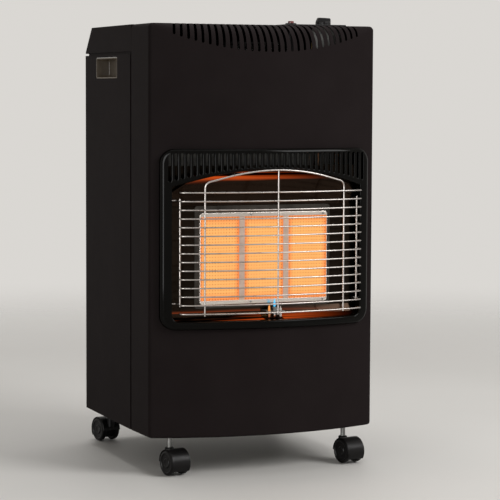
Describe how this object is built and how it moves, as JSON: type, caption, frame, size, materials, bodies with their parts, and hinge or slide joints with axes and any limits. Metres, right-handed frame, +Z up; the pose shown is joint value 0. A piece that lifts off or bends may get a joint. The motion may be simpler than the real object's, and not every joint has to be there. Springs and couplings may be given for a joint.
{
  "type": "portable gas cabinet heater",
  "caption": "Steel cabinet on twin-wheel castors with a bowed louvred front, a radiant ceramic burner behind a wire guard and a bottle compartment with a lift-off rear cover.",
  "frame": {"origin": "on the floor, under the middle of the overall width and of the overall depth", "axes": "+Z up, -Y towards the wire guard at the front, +X towards the control knob's side"},
  "size_m": [0.4, 0.4604, 0.7553],
  "materials": {
    "body_paint": "satin",
    "black_enamel": "gloss",
    "chrome_wire": "polished",
    "zinc_steel": "satin",
    "polished_steel": "polished",
    "ceramic": "matt, glowing orange",
    "brass": "satin",
    "copper": "satin",
    "black_plastic": "satin",
    "red_plastic": "gloss",
    "grip_plastic": "matt",
    "porcelain": "glazed",
    "silicone_lead": "matt"
  },
  "bodies": {
    "cabinet": {"front_shell": "body_paint", "side_panel_left": "body_paint", "side_panel_right": "body_paint", "top_cover": "body_paint", "base_tray": "zinc_steel", "rear_rail": "zinc_steel", "heat_shield": "zinc_steel", "upper_screen": "zinc_steel", "hand_grip_left": "grip_plastic", "hand_grip_right": "grip_plastic", "window_bezel": "black_enamel", "wire_guard": "chrome_wire", "firebox": "black_enamel", "reflector_top": "polished_steel", "reflector_floor": "polished_steel", "burner_frame": "polished_steel", "ceramic_plaque_left": "ceramic", "ceramic_plaque_centre": "ceramic", "ceramic_plaque_right": "ceramic", "flame_strip_left": "zinc_steel", "flame_strip_right": "zinc_steel", "burner_plenum": "zinc_steel", "gas_manifold": "brass", "gas_valve": "brass", "valve_bracket": "zinc_steel", "burner_pipe": "copper", "pilot_pipe": "copper", "inlet_pipe": "copper", "ignition_lead": "silicone_lead", "pilot_bracket": "zinc_steel", "pilot_burner": "zinc_steel", "thermocouple": "copper", "spark_electrode": "porcelain", "control_plate": "black_plastic", "piezo_igniter": "black_plastic", "front_left_castor_stem": "chrome_wire", "front_right_castor_stem": "chrome_wire", "rear_left_castor_stem": "chrome_wire", "rear_right_castor_stem": "chrome_wire"},
    "cover": {"rear_cover": "body_paint"},
    "push_pin": {"valve_push_pin": "zinc_steel"},
    "knob": {"control_knob": "black_plastic", "valve_spindle": "zinc_steel"},
    "button": {"igniter_button": "red_plastic"},
    "front_left_fork": {"front_left_castor_hood": "black_plastic", "front_left_castor_axle": "zinc_steel"},
    "front_left_a": {"front_left_wheel_a": "black_plastic"},
    "front_left_b": {"front_left_wheel_b": "black_plastic"},
    "front_right_fork": {"front_right_castor_hood": "black_plastic", "front_right_castor_axle": "zinc_steel"},
    "front_right_a": {"front_right_wheel_a": "black_plastic"},
    "front_right_b": {"front_right_wheel_b": "black_plastic"},
    "rear_left_fork": {"rear_left_castor_hood": "black_plastic", "rear_left_castor_axle": "zinc_steel"},
    "rear_left_a": {"rear_left_wheel_a": "black_plastic"},
    "rear_left_b": {"rear_left_wheel_b": "black_plastic"},
    "rear_right_fork": {"rear_right_castor_hood": "black_plastic", "rear_right_castor_axle": "zinc_steel"},
    "rear_right_a": {"rear_right_wheel_a": "black_plastic"},
    "rear_right_b": {"rear_right_wheel_b": "black_plastic"}
  },
  "joints": [
    {"name": "rear_cover_lift", "type": "slide", "parent": "cabinet", "child": "cover", "axis": [0, 0, 1], "range_m": [0, 0.012]},
    {"name": "knob_push", "type": "slide", "parent": "cabinet", "child": "push_pin", "axis": [0, 0, -1], "range_m": [0, 0.004], "stiffness_N_per_m": 1500, "springref_m": -0.002},
    {"name": "knob_turn", "type": "hinge", "parent": "push_pin", "child": "knob", "pos_m": [0.1315, -0.1038, 0.74], "axis": [0, 0, 1], "range_deg": [0, 210]},
    {"name": "igniter_press", "type": "slide", "parent": "cabinet", "child": "button", "axis": [0, 0, -1], "range_m": [0, 0.004], "stiffness_N_per_m": 1200, "springref_m": -0.001},
    {"name": "front_left_swivel", "type": "hinge", "parent": "cabinet", "child": "front_left_fork", "pos_m": [-0.1574, -0.1412, 0.0433], "axis": [0, 0, 1], "continuous": true},
    {"name": "front_left_roll_a", "type": "hinge", "parent": "front_left_fork", "child": "front_left_a", "pos_m": [-0.15387, -0.15783, 0.0205], "axis": [0.9781, 0.2079, 0], "continuous": true},
    {"name": "front_left_roll_b", "type": "hinge", "parent": "front_left_fork", "child": "front_left_b", "pos_m": [-0.15387, -0.15783, 0.0205], "axis": [0.9781, 0.2079, 0], "continuous": true},
    {"name": "front_right_swivel", "type": "hinge", "parent": "cabinet", "child": "front_right_fork", "pos_m": [0.1574, -0.1412, 0.0433], "axis": [0, 0, 1], "continuous": true},
    {"name": "front_right_roll_a", "type": "hinge", "parent": "front_right_fork", "child": "front_right_a", "pos_m": [0.16093, -0.15783, 0.0205], "axis": [0.9781, 0.2079, 0], "continuous": true},
    {"name": "front_right_roll_b", "type": "hinge", "parent": "front_right_fork", "child": "front_right_b", "pos_m": [0.16093, -0.15783, 0.0205], "axis": [0.9781, 0.2079, 0], "continuous": true},
    {"name": "rear_left_swivel", "type": "hinge", "parent": "cabinet", "child": "rear_left_fork", "pos_m": [-0.1574, 0.1772, 0.0433], "axis": [0, 0, 1], "continuous": true},
    {"name": "rear_left_roll_a", "type": "hinge", "parent": "rear_left_fork", "child": "rear_left_a", "pos_m": [-0.16093, 0.19383, 0.0205], "axis": [-0.9781, -0.2079, 0], "continuous": true},
    {"name": "rear_left_roll_b", "type": "hinge", "parent": "rear_left_fork", "child": "rear_left_b", "pos_m": [-0.16093, 0.19383, 0.0205], "axis": [-0.9781, -0.2079, 0], "continuous": true},
    {"name": "rear_right_swivel", "type": "hinge", "parent": "cabinet", "child": "rear_right_fork", "pos_m": [0.1574, 0.1772, 0.0433], "axis": [0, 0, 1], "continuous": true},
    {"name": "rear_right_roll_a", "type": "hinge", "parent": "rear_right_fork", "child": "rear_right_a", "pos_m": [0.15977, 0.19404, 0.0205], "axis": [-0.9903, 0.1392, 0], "continuous": true},
    {"name": "rear_right_roll_b", "type": "hinge", "parent": "rear_right_fork", "child": "rear_right_b", "pos_m": [0.15977, 0.19404, 0.0205], "axis": [-0.9903, 0.1392, 0], "continuous": true}
  ]
}
